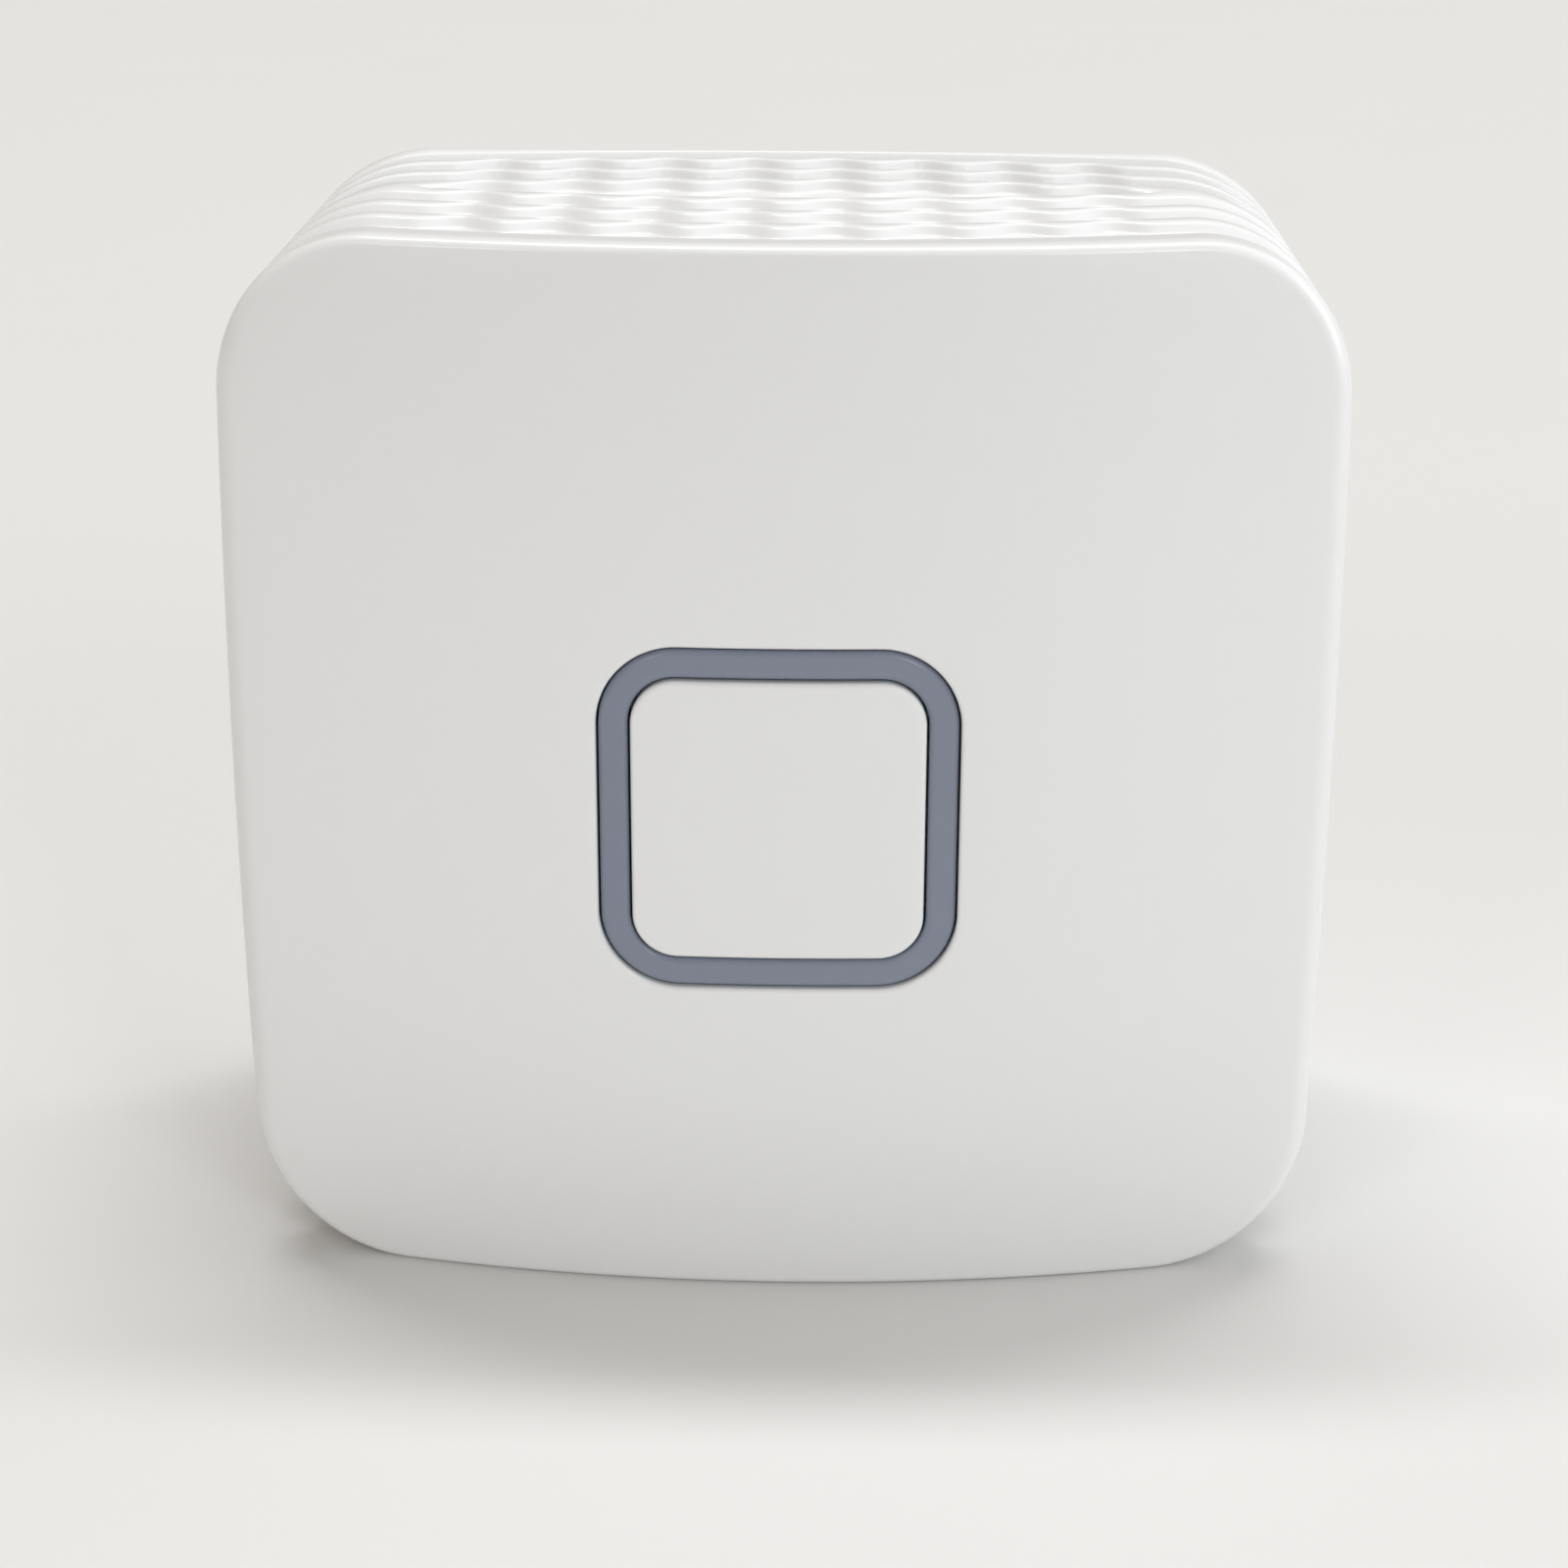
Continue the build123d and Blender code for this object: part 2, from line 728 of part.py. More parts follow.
# Power board and what is soldered to it
with BuildPart() as power_board:
    with BuildSketch(facing(power_back)):
        RectangleRounded(power_board_width, power_board_height, power_board_corner)
        with Locations(*post_screws):
            Circle(board_hole_diameter / 2, mode=Mode.SUBTRACT)
    extrude(amount=board_thickness)
power_board.part.label = "power_board"
export_step(power_board.part, "parts/power_board.step")

power_screws = screws(post_screws, power_front, -1)
power_screws.label = "power_board_screws"
export_step(power_screws, "parts/power_board_screws.step")

# Transformer: a ferrite core with two windows, a bobbin round its middle leg, and the winding on it
window = (core_width - core_leg) / 2 - core_yoke
core_front = power_front - tall_part
coil_back = power_front - core_yoke - coil_clearance
coil_front = core_front + core_yoke + coil_clearance
sleeve_width = core_leg + 2 * (coil_clearance + bobbin_wall)
sleeve_thickness = core_thickness + 2 * (coil_clearance + bobbin_wall)
coil_width = core_leg + 2 * (window - coil_clearance)
coil_thickness = core_thickness + 2 * coil_rise
with BuildPart() as transformer_core:
    with BuildSketch(facing(power_front)):
        with Locations(transformer_at):
            Rectangle(core_width, core_thickness)
    extrude(amount=tall_part)
    with BuildSketch(facing(power_front - core_yoke)):
        with Locations(
            *[
                (transformer_at[0] + side * (core_leg + window) / 2, transformer_at[1])
                for side in (-1, 1)
            ]
        ):
            Rectangle(window, core_thickness)
    extrude(amount=tall_part - 2 * core_yoke, mode=Mode.SUBTRACT)
transformer_core.part.label = "transformer_core"
export_step(transformer_core.part, "parts/transformer_core.step")

with BuildPart() as transformer_bobbin:
    with BuildSketch(facing(coil_back)):
        with Locations(transformer_at):
            Rectangle(coil_width, coil_thickness)
    extrude(amount=coil_back - coil_front)
    with BuildSketch(facing(coil_back - bobbin_flange)):
        with Locations(transformer_at):
            Rectangle(coil_width, coil_thickness)
            Rectangle(sleeve_width, sleeve_thickness, mode=Mode.SUBTRACT)
    extrude(amount=coil_back - coil_front - 2 * bobbin_flange, mode=Mode.SUBTRACT)
    with BuildSketch(facing(coil_back)):
        with Locations(transformer_at):
            Rectangle(core_leg + 2 * coil_clearance, core_thickness + 2 * coil_clearance)
    extrude(amount=coil_back - coil_front, mode=Mode.SUBTRACT)
transformer_bobbin.part.label = "transformer_bobbin"
export_step(transformer_bobbin.part, "parts/transformer_bobbin.step")

with BuildPart() as transformer_winding:
    with BuildSketch(facing(coil_back - bobbin_flange)):
        with Locations(transformer_at):
            RectangleRounded(
                coil_width - 2 * coil_clearance, coil_thickness - bobbin_flange, bobbin_wall
            )
            Rectangle(sleeve_width, sleeve_thickness, mode=Mode.SUBTRACT)
    extrude(amount=coil_back - coil_front - 2 * bobbin_flange)
transformer_winding.part.label = "transformer_winding"
export_step(transformer_winding.part, "parts/transformer_winding.step")

cans = [capacitor((bulk_capacitors_x, z), bulk_capacitor_diameter, tall_part) for z in bulk_capacitors_z]
bulk_capacitors = Compound(label="bulk_capacitors", children=cans)
export_step(bulk_capacitors, "parts/bulk_capacitors.step")

output_capacitor_at = (output_capacitor_x, output_capacitor_z)
output_capacitor = capacitor(output_capacitor_at, output_capacitor_diameter, output_capacitor_length)
output_capacitor.label = "output_capacitor"
export_step(output_capacitor, "parts/output_capacitor.step")

with BuildPart() as input_choke:
    with BuildSketch(facing(power_front)):
        with Locations(choke_at):
            Circle(choke_diameter / 2)
    extrude(amount=choke_length)
    with BuildSketch(facing(power_front - choke_flange)):
        with Locations(choke_at):
            Circle(choke_diameter / 2)
            Circle(choke_core_diameter / 2, mode=Mode.SUBTRACT)
    extrude(amount=choke_length - 2 * choke_flange, mode=Mode.SUBTRACT)
input_choke.part.label = "input_choke"
export_step(input_choke.part, "parts/input_choke.step")

fuse_axis_y = power_front - fuse_diameter / 2
with BuildPart() as fuse:
    with BuildSketch(Plane(origin=(fuse_at[0] - fuse_length / 2, fuse_axis_y, fuse_at[1]), z_dir=(1, 0, 0))):
        Circle(fuse_diameter / 2)
    extrude(amount=fuse_length)
    with BuildSketch(
        Plane(
            origin=(fuse_at[0] - fuse_length / 2 + fuse_cap_length, fuse_axis_y, fuse_at[1]), z_dir=(1, 0, 0)
        )
    ):
        Circle(fuse_diameter / 2)
        Circle(fuse_diameter / 2 - fuse_cap_step, mode=Mode.SUBTRACT)
    extrude(amount=fuse_length - 2 * fuse_cap_length, mode=Mode.SUBTRACT)
fuse.part.label = "fuse"
export_step(fuse.part, "parts/fuse.step")

rectifier = box_on(power_front, rectifier_at, rectifier_size, chip_bevel)
rectifier.label = "rectifier"
export_step(rectifier, "parts/rectifier.step")

controller = box_on(power_front, controller_at, controller_size, chip_bevel)
controller.label = "power_controller"
export_step(controller, "parts/power_controller.step")

disc_y = power_front - disc_capacitor_rise - disc_capacitor_diameter / 2
with BuildPart() as disc_capacitor:
    with BuildSketch(Plane.XY.offset(disc_capacitor_at[1] - disc_capacitor_thickness / 2)):
        with Locations((disc_capacitor_at[0], disc_y)):
            Circle(disc_capacitor_diameter / 2)
    extrude(amount=disc_capacitor_thickness)
    with BuildSketch(facing(power_front)):
        with Locations(
            *[(disc_capacitor_at[0] + side * lead_pitch / 2, disc_capacitor_at[1]) for side in (-1, 1)]
        ):
            Circle(lead_diameter / 2)
    extrude(amount=power_front - disc_y)
disc_capacitor.part.label = "disc_capacitor"
export_step(disc_capacitor.part, "parts/disc_capacitor.step")

# Plug: two blades in a moulded carrier, and the spring clips that take the mains to the power board
blade_centres = [-blade_spacing / 2, blade_spacing / 2]
clip_base = power_back + clip_sheet
tab_end = clip_base + clip_play
with BuildPart() as blade_carrier:
    with BuildSketch(facing(-carrier_sink)):
        RectangleRounded(carrier_width, carrier_height, carrier_corner)
    extrude(amount=-carrier_sink - carrier_front)
    with BuildSketch(facing(inner_back)):
        RectangleRounded(
            carrier_width + 2 * carrier_flange,
            carrier_height + 2 * carrier_flange,
            carrier_corner + carrier_flange,
        )
    extrude(amount=carrier_flange_thickness)
    with BuildSketch(facing(0)):
        with Locations(*[(x, 0) for x in blade_centres]):
            Rectangle(blade_thickness + 2 * blade_fit, blade_width + 2 * blade_fit)
    extrude(amount=-carrier_front, mode=Mode.SUBTRACT)
blade_carrier.part.label = "blade_carrier"
export_step(blade_carrier.part, "parts/blade_carrier.step")

for name, x in zip(("blade_left", "blade_right"), blade_centres):
    with BuildPart() as blade:
        with BuildSketch(facing(blade_length)):
            with Locations((x, 0)):
                Rectangle(blade_thickness, blade_width)
        extrude(amount=blade_length - carrier_front)
        tip = blade.faces().sort_by(Axis.Y)[-1]
        chamfer(tip.edges(), blade_tip_bevel)
        with BuildSketch(facing(carrier_front)):
            with Locations((x, 0)):
                Rectangle(blade_thickness, blade_tab_width)
        extrude(amount=carrier_front - tab_end)
        with BuildSketch(Plane.YZ.offset(x - blade_thickness)):
            with Locations((blade_hole_from_wall, 0)):
                Circle(blade_hole_diameter / 2)
        extrude(amount=2 * blade_thickness, mode=Mode.SUBTRACT)
    blade.part.label = name
    export_step(blade.part, f"parts/{name}.step")

clip_span = blade_thickness + 2 * clip_sheet
with BuildPart() as blade_clips:
    with BuildSketch(facing(carrier_front - clip_from_carrier)):
        with Locations(*[(x, 0) for x in blade_centres]):
            Rectangle(clip_span, clip_width)
    extrude(amount=carrier_front - clip_from_carrier - power_back)
    with BuildSketch(facing(carrier_front)):
        with Locations(*[(x, 0) for x in blade_centres]):
            Rectangle(blade_thickness, clip_width)
    extrude(amount=carrier_front - clip_base, mode=Mode.SUBTRACT)
blade_clips.part.label = "blade_clips"
export_step(blade_clips.part, "parts/blade_clips.step")
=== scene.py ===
import json
import math
from typing import NamedTuple

import bmesh
import bpy
from mathutils import Matrix, Vector


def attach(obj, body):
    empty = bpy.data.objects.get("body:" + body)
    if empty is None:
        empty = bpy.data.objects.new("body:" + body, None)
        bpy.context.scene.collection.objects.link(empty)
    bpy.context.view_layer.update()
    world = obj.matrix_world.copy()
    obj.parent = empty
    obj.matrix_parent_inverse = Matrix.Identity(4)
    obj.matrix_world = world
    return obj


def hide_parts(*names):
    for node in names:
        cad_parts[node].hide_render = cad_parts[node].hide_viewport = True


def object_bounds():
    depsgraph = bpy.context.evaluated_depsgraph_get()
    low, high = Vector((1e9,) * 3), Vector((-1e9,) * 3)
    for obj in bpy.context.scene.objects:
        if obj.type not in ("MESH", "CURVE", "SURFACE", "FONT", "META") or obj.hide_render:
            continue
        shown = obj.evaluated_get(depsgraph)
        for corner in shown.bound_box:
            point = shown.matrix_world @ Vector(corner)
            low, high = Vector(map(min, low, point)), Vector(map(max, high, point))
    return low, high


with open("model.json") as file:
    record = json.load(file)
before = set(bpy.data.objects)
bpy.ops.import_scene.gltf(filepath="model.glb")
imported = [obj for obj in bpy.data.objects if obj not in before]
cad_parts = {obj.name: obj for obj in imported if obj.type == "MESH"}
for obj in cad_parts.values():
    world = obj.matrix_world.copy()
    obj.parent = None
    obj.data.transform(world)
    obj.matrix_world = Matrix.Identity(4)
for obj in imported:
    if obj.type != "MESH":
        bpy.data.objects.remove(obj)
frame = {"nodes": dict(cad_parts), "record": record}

bl_info = {
    "name": "Plug-in smart hub",
    "version": (1, 0, 0),
    "blender": (4, 5, 0),
    "location": "3D View > Sidebar > Smart Hub",
    "description": "Dresses the smart hub's model in its finishes and sets up the studio round it",
    "category": "Object",
}

MM = 0.001
CAD_BOX = [list(corner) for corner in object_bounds()]
FLOOR_Z = CAD_BOX[0][2]
FACE_Y = CAD_BOX[0][1]
SLOTS = {row["node"]: row["material_slot"] for row in frame["record"]["subparts"]}
BODIES = frame["record"]["behaviour"]["bodies"]

# The camera, fitted to the photograph. Its aim is a place on the plane that touches the middle of the face.
PHOTO_SIZE = 1600
FOCAL_PIXELS = 3301.7
SENSOR = 36.0
CAMERA_PITCH = math.radians(19.99)
CAMERA_YAW = math.radians(-1.27)
CAMERA_ROLL = math.radians(0.21)
CAMERA_AIM = Vector((0.33 * MM, FACE_Y, 1.63 * MM))
CAMERA_DISTANCE = 173.74 * MM
CAMERA_CLIP = 10 * MM

# The studio. A lamp has its name, the way to it from the hub, its size as a share of its distance, and its
# level, which is the part of full light that it gives a surface turned straight to it. The lamp over the back
# is broad and shallow, so that its shadow narrows towards the camera, and the shadows of the two in front
# fall back to the left and the right.
TABLE_SIZE = 12.0
LAMP_DISTANCE = 4.0
LAMPS = (
    ("lamp_over_back", (0.0, 0.22, 0.975), (0.80, 0.12), 0.59),
    ("lamp_front_right", (0.45, -0.78, 0.44), (0.25, 0.25), 0.14),
    ("lamp_front_left", (-0.45, -0.78, 0.44), (0.25, 0.25), 0.10),
    ("lamp_right", (0.95, 0.10, 0.28), (0.45, 0.50), 0.20),
)

# Sizes of the hub in millimetres, as in the CAD source, with the soft radii that its flat steps stand for.
# A depth is a y: the wall is at 0 and the middle of the face at FRONT. A fall is how far a line or surface
# has gone back where it meets the left and right edges, and where it meets the top and bottom edges.
FRONT = FACE_Y / MM
PARTING = -15.0
WALL = 1.8
FACE_WALL = 2.0
FACE_FALLS = (4.75, 2.5)
RIM_RADIUS = 1.2  # at the left and right sides
RIM_RADIUS_ENDS = 0.45  # at the top and bottom sides
BACK_RADIUS = 1.4

# The ribs, which begin this far behind the face at the middle of the top side
FRONT_RIBS = (8.0, 12.0, 16.0)
FRONT_RIB_FALLS = (5.4, 3.0)
REAR_RIBS = (22.4, 26.15, 29.9)
REAR_RIB_FALLS = (-3.5, -3.5)
REAR_PITCH = 3.75
RIB_HEIGHT = 0.6
RIB_WIDTH = 2.0
LIP_END = 5.3
SCALLOP_PITCH = 5.0
SCALLOP_DEPTH = 1.1
SCALLOP_REACH = 20.0
LENS_TAPER = 0.9  # the recess between the sets of ribs is shallower where it is narrower than this
CREST_ROUND = 0.4  # how far a rib's rounded edge reaches over the rib
FOOT_ROUND = 0.15  # and how far into the groove

# The tongue of the rear cover, which reaches into the front cover
TONGUE_ROOT = 2.0
TONGUE_REACH = 2.2
TONGUE_INSETS = (1.95, 2.95)

RING_RISE = -0.75
RING_GAP = 0.12
RING_SINK = 0.15
RING_BEVEL = 0.35
# The width of the painted highlight along the light ring's rounded edges
RING_HIGHLIGHT_BAND = 0.5
RING_FLANGE = 1.6
RING_STEP = 0.8
RING_BACK = -27.1
APERTURE_RADIUS = 0.25
SEAT = -32.6
SEAT_WIDTH = 2.8
FLANGE_BACK = -31.6
BORE_STEP = -32.2

BUTTON_GAP = 0.14
BUTTON_BEVEL = 0.25
BUTTON_FLANGE = (-32.1, -31.1)
BUTTON_FLANGE_WIDTH = 0.6
BUTTON_SKIRT = 1.2
BUTTON_UNDERSIDE = -34.0
BUTTON_POST_END = -30.3

# How finely the pieces are divided: columns on a side and round a corner, and rows
COVER_COLUMNS = (180, 36)
RING_COLUMNS = (40, 20)
EDGE_ROWS = 6
ROUND_ROWS = 7
FACE_ROWS = 14
INSIDE_ROWS = 7
RING_ROWS = 4
WELD = 0.0005
SHARP_EDGE = math.radians(50)

# The colour sockets of a Mix node, which share their names with its other sockets
MIX_FIRST, MIX_SECOND, MIX_RESULT = 6, 7, 2

X, Y, Z = range(3)
SMALL_EDGE = 0.05 * MM


class Socket:
    """An output of a shader node. Arithmetic on it adds the Math nodes that the expression needs."""

    def __init__(self, shader, output):
        self.shader = shader
        self.output = output

    def __add__(self, other):
        return self.shader.math("ADD", self, other)

    def __radd__(self, other):
        return self.shader.math("ADD", other, self)

    def __sub__(self, other):
        return self.shader.math("SUBTRACT", self, other)

    def __rsub__(self, other):
        return self.shader.math("SUBTRACT", other, self)

    def __mul__(self, other):
        return self.shader.math("MULTIPLY", self, other)

    def __rmul__(self, other):
        return self.shader.math("MULTIPLY", other, self)


class Shader:
    """A node tree under construction, whose nodes are all added by one method."""

    def __init__(self, tree):
        self.tree = tree
        self.tree.nodes.clear()

    def node(self, kind, settings=None, inputs=None, output=0):
        """Adds a node, makes its settings, gives its inputs their values or links, and returns an output."""
        node = self.tree.nodes.new(kind)
        for name, value in (settings or {}).items():
            if name == "stops":
                self.fill_ramp(node.color_ramp, value)
            else:
                setattr(node, name, value)
        for name, value in (inputs or {}).items():
            if isinstance(value, Socket):
                self.tree.links.new(value.output, node.inputs[name])
            else:
                node.inputs[name].default_value = value
        return Socket(self, node.outputs[output]) if node.outputs else None

    def fill_ramp(self, ramp, stops):
        """Gives a colour ramp its stops, each a place and a grey level or a colour."""
        while len(ramp.elements) < len(stops):
            ramp.elements.new(1.0)
        for element, (place, value) in zip(ramp.elements, stops):
            element.position = place
            element.color = (value, value, value, 1.0) if isinstance(value, float) else value

    def math(self, operation, first, second=0.0):
        """The result of a Math node. An operation on one value takes no notice of the second."""
        return self.node("ShaderNodeMath", {"operation": operation}, {0: first, 1: second})

    def place(self):
        """The place on the surface, in metres, in the model's own frame."""
        return self.node("ShaderNodeTexCoord", output="Object")

    def noise(self, size, detail=2.0, roughness=0.5, stretch=None):
        """Soft noise whose lumps are about size metres wide, from 0 to 1."""
        where = self.place()
        if stretch:
            where = self.node("ShaderNodeMapping", inputs={"Vector": where, "Scale": stretch})
        inputs = {"Vector": where, "Scale": 1 / size, "Detail": detail, "Roughness": roughness}
        return self.node("ShaderNodeTexNoise", inputs=inputs, output="Fac")

    def specks(self, spacing, size):
        """A few small specks of dust, 1 on a speck and 0 elsewhere."""
        inputs = {"Vector": self.place(), "Scale": 1 / spacing}
        nearest = self.node("ShaderNodeTexVoronoi", inputs=inputs, output="Distance")
        return self.math("LESS_THAN", nearest, size / spacing)

    def outside(self, outline):
        """How far a place lies outside a rounded rectangle, in metres. It is negative inside."""
        half_width, half_height, radius, rise = (MM * size for size in outline.sizes)
        x, z = (self.node("ShaderNodeSeparateXYZ", inputs={0: self.place()}, output=axis) for axis in "XZ")
        over_x = self.math("ABSOLUTE", x) - (half_width - radius)
        over_z = self.math("ABSOLUTE", z - rise) - (half_height - radius)
        squares = [self.math("POWER", self.math("MAXIMUM", over, 0.0), 2.0) for over in (over_x, over_z)]
        corner = self.math("SQRT", squares[0] + squares[1])
        return corner + self.math("MINIMUM", self.math("MAXIMUM", over_x, over_z), 0.0) - radius

    def ramp(self, mask, stops):
        """The colour that a ramp gives a mask."""
        return self.node("ShaderNodeValToRGB", {"stops": stops}, {"Fac": mask}, "Color")

    def blend(self, mask, first, second):
        """One colour or the other, by the mask."""
        inputs = {"Factor": mask, MIX_FIRST: first, MIX_SECOND: second}
        return self.node("ShaderNodeMix", {"data_type": "RGBA"}, inputs, MIX_RESULT)

    def bump(self, height, strength, distance, normal=None):
        """The surface's normal with a relief on it, or a normal of its own with that relief."""
        inputs = {"Height": height, "Strength": strength, "Distance": distance}
        if normal:
            inputs["Normal"] = normal
        return self.node("ShaderNodeBump", inputs=inputs)

    def soft_edges(self, radius):
        """The surface's normal with its sharp edges rounded by radius."""
        return self.node("ShaderNodeBevel", {"samples": 6}, {"Radius": radius})

    def finish(self, **inputs):
        """Ends the material with one Principled surface."""
        named = {key.replace("_", " ").title().replace("Ior", "IOR"): inputs[key] for key in inputs}
        surface = self.node("ShaderNodeBsdfPrincipled", inputs=named)
        self.node("ShaderNodeOutputMaterial", inputs={"Surface": surface})


def material(name):
    """A new material and the shader that fills it."""
    made = bpy.data.materials.new(name)
    made.use_nodes = True
    return made, Shader(made.node_tree)


def rgb(red, green, blue):
    """A colour as the node sockets take it."""
    return (red, green, blue, 1.0)


def moulded_gloss(name, colour, roughness, edge=SMALL_EDGE, dusty=False):
    """Glossy moulded plastic: faint flow shading, fine orange peel, and edges softened by the mould."""
    made, shader = material(name)
    dull = tuple(0.965 * part for part in colour)
    tint = shader.blend(shader.noise(size=14 * MM, detail=3.0), rgb(*colour), rgb(*dull))
    if dusty:
        grey = tuple(0.45 * part for part in colour)
        tint = shader.blend(shader.specks(spacing=9 * MM, size=0.13 * MM), tint, rgb(*grey))
    peel = shader.noise(size=0.55 * MM)
    normal = shader.bump(peel, strength=0.05, distance=0.02 * MM, normal=shader.soft_edges(edge))
    polish = roughness + 0.06 * shader.noise(size=4 * MM, detail=4.0)
    shader.finish(base_color=tint, roughness=polish, normal=normal, ior=1.5)
    return made


def smoked_guide(name, colour):
    """Polished smoked plastic with a painted highlight: its thin rounded edges are painted paler and warmer
    than its face, for the light that they catch.
    """
    made, shader = material(name)
    rim = shader.math("MAXIMUM", shader.outside(RING), 0.0 - shader.outside(OPENING))
    across = 1.0 + rim * (1 / (RING_HIGHLIGHT_BAND * MM))
    # Painted highlight: the mask is 1 in a band along the ring's outer and inner rounded edges, which are
    # painted a paler, warmer tint.
    edge = shader.ramp(across, ((0.1, 0.0), (0.4, 0.8), (0.6, 1.0)))
    highlight_tint = tuple(0.55 * part + 0.15 for part in reversed(colour))
    tint = shader.blend(edge, rgb(*colour), rgb(*highlight_tint))
    polish = 0.10 + 0.06 * shader.noise(size=3 * MM, detail=3.0)
    normal = shader.bump(shader.noise(size=0.5 * MM), strength=0.04, distance=0.02 * MM)
    shader.finish(base_color=tint, roughness=polish, normal=normal, ior=1.55)
    return made


def moulded_matt(name, colour, roughness):
    """Matt moulded plastic with a fine spark-eroded grain."""
    made, shader = material(name)
    grain = shader.noise(size=0.12 * MM, detail=3.0)
    light = tuple(1.35 * part + 0.004 for part in colour)
    tint = shader.blend(grain, rgb(*colour), rgb(*light))
    normal = shader.bump(grain, strength=0.25, distance=0.03 * MM)
    shader.finish(base_color=tint, roughness=roughness + 0.12 * grain, normal=normal)
    return made


def sheet_metal(name, colour, roughness, along):
    """Plated or rolled sheet metal with fine lines along one axis."""
    made, shader = material(name)
    stretch = tuple(0.06 if axis == along else 1.0 for axis in (X, Y, Z))
    lines = shader.noise(size=0.25 * MM, detail=4.0, roughness=0.6, stretch=stretch)
    dull = tuple(0.8 * part for part in colour)
    tint = shader.blend(lines, rgb(*colour), rgb(*dull))
    normal = shader.bump(lines, strength=0.18, distance=0.01 * MM)
    polish = roughness + 0.15 * lines
    shader.finish(base_color=tint, metallic=1.0, roughness=polish, normal=normal)
    return made


def finishes(props):
    """Makes every finish of the hub, named for the record's material slot that it is for."""
    white = tuple(props.housing_colour)
    return {
        "housing": moulded_gloss("housing", white, props.housing_roughness, props.edge_softness, dusty=True),
        "light_guide": smoked_guide("light_guide", tuple(props.ring_colour)),
        "dark_plastic": moulded_matt("dark_plastic", (0.03, 0.03, 0.035), 0.5),
        "bright_metal": sheet_metal("bright_metal", (0.72, 0.72, 0.70), 0.22, along=X),
        "led": moulded_matt("led", (0.85, 0.82, 0.62), 0.35),
        "circuit_board": moulded_gloss("circuit_board", (0.02, 0.16, 0.07), 0.3),
        "screw_steel": sheet_metal("screw_steel", (0.56, 0.56, 0.54), 0.3, along=Y),
        "chip": moulded_matt("chip", (0.03, 0.03, 0.033), 0.55),
        "insulator": moulded_gloss("insulator", (0.75, 0.42, 0.08), 0.25),
        "brass": sheet_metal("brass", (0.78, 0.57, 0.24), 0.25, along=Z),
        "ferrite": moulded_matt("ferrite", (0.07, 0.07, 0.075), 0.6),
        "winding_tape": moulded_matt("winding_tape", (0.75, 0.58, 0.06), 0.35),
        "capacitor_sleeve": moulded_gloss("capacitor_sleeve", (0.04, 0.045, 0.09), 0.25),
        "fuse_body": moulded_matt("fuse_body", (0.72, 0.70, 0.62), 0.4),
        "ceramic_blue": moulded_gloss("ceramic_blue", (0.03, 0.12, 0.42), 0.3),
        "blade_metal": sheet_metal("blade_metal", (0.74, 0.72, 0.68), 0.18, along=Y),
    }


class Outline:
    """A rounded rectangle that looks along the hub's axis."""

    def __init__(self, half_width, half_height, radius, rise=0.0):
        self.sizes = (half_width, half_height, radius, rise)

    def grown(self, by):
        """The outline offset outwards, or inwards if by is negative."""
        half_width, half_height, radius, rise = self.sizes
        return Outline(half_width + by, half_height + by, max(radius + by, 0.0), rise)

    def towards(self, other, share):
        """The outline that lies a share of the way from this one to another."""
        return Outline(*(near + share * (far - near) for near, far in zip(self.sizes, other.sizes)))

    def at(self, column):
        """The place where a column of the loop crosses this outline."""
        half_width, half_height, radius, rise = self.sizes
        x = column.core.x * (half_width - radius) + column.out.x * radius
        return x, column.core.y * (half_height - radius) + column.out.y * radius + rise


SHELL = Outline(half_width=30.5, half_height=30.05, radius=8.8)
RING = Outline(half_width=9.7, half_height=9.7, radius=4.3, rise=RING_RISE)
OPENING = Outline(half_width=8.1, half_height=8.1, radius=2.6, rise=RING_RISE)
POST = Outline(half_width=1.5, half_height=1.5, radius=1.5, rise=RING_RISE)
RING_CENTRE = Outline(half_width=0.0, half_height=0.0, radius=0.0, rise=RING_RISE)
CARRIER_HOLE = Outline(half_width=12.1, half_height=6.6, radius=2.6)


class Column(NamedTuple):
    """A line that crosses every row of a loop round the hub."""

    core: Vector  # its place on the edge of a unit square
    out: Vector  # the way out from there
    along: float  # how far it is from the middle of the housing's straight side, infinite at a corner


def loop_columns(on_side, on_corner):
    """The columns of a loop round the hub, from the top side on."""
    columns = []
    for quarter in range(4):
        turn = Matrix.Rotation(-quarter * math.pi / 2, 2)
        straight = SHELL.sizes[quarter % 2] - SHELL.sizes[2]
        for step in range(on_side):
            share = 2 * step / on_side - 1
            out = turn @ Vector((0.0, 1.0))
            columns.append(Column(turn @ Vector((share, 1.0)), out, abs(share) * straight))
        for step in range(on_corner):
            angle = math.pi / 2 * (1 - step / on_corner)
            out = turn @ Vector((math.cos(angle), math.sin(angle)))
            columns.append(Column(turn @ Vector((1.0, 1.0)), out, math.inf))
    return columns


def ease(share):
    """A smooth step from 0 to 1."""
    share = min(max(share, 0.0), 1.0)
    return share * share * (3 - 2 * share)


def fall(falls, x, z):
    """How far behind its middle a crowned line or surface lies at x, z."""
    half_width, half_height = SHELL.sizes[:2]
    return falls[0] * (x / half_width) ** 2 + falls[1] * (z / half_height) ** 2


def scallop(column):
    """How deep the wave bites into the ribs' front edges at a column."""
    if column.along > SCALLOP_REACH:
        return 0.0
    return SCALLOP_DEPTH * (0.5 - 0.5 * math.cos(2 * math.pi * column.along / SCALLOP_PITCH))


